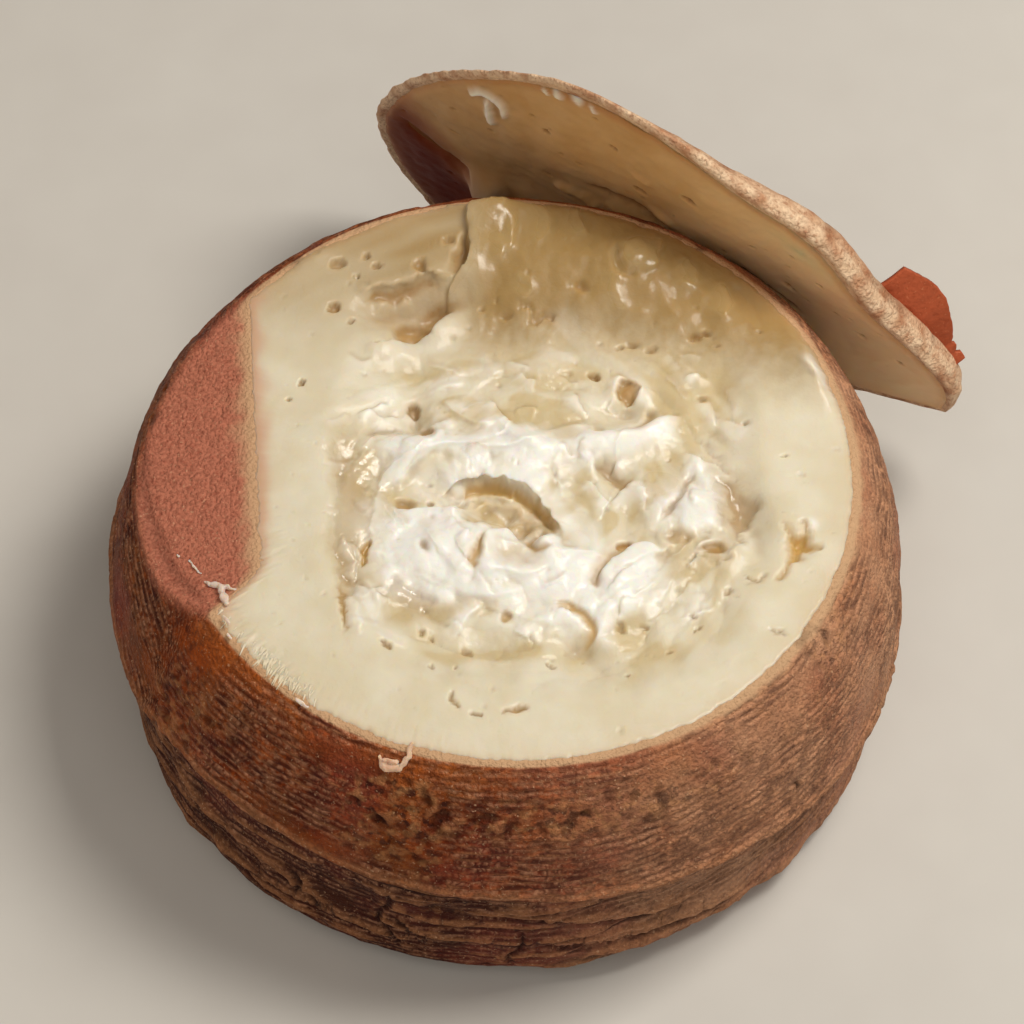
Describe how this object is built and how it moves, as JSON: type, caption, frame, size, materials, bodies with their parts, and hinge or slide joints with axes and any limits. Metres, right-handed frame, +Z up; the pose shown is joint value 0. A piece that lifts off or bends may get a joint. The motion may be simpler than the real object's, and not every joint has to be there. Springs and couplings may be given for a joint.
{
  "type": "torta del casar cheese",
  "caption": "Soft round sheep's milk cheese with its top cut off level; the cut top stands behind the wheel as a lid, leaning forward on its shoulder.",
  "frame": {"origin": "middle of the wheel's flat bottom, on the surface it stands on", "axes": "+Z up; +Y away from the viewer, towards the side where the lid stands; +X to the viewer's right"},
  "size_m": [0.1574, 0.1727, 0.0891],
  "materials": {
    "wheel": "moist cream paste inside a dull orange-brown rind",
    "lid": "tan paste on the cut side, dull orange-brown rind on the other"
  },
  "bodies": {
    "root": {"cheese_wheel": "wheel", "cut_lid": "lid"}
  },
  "joints": []
}
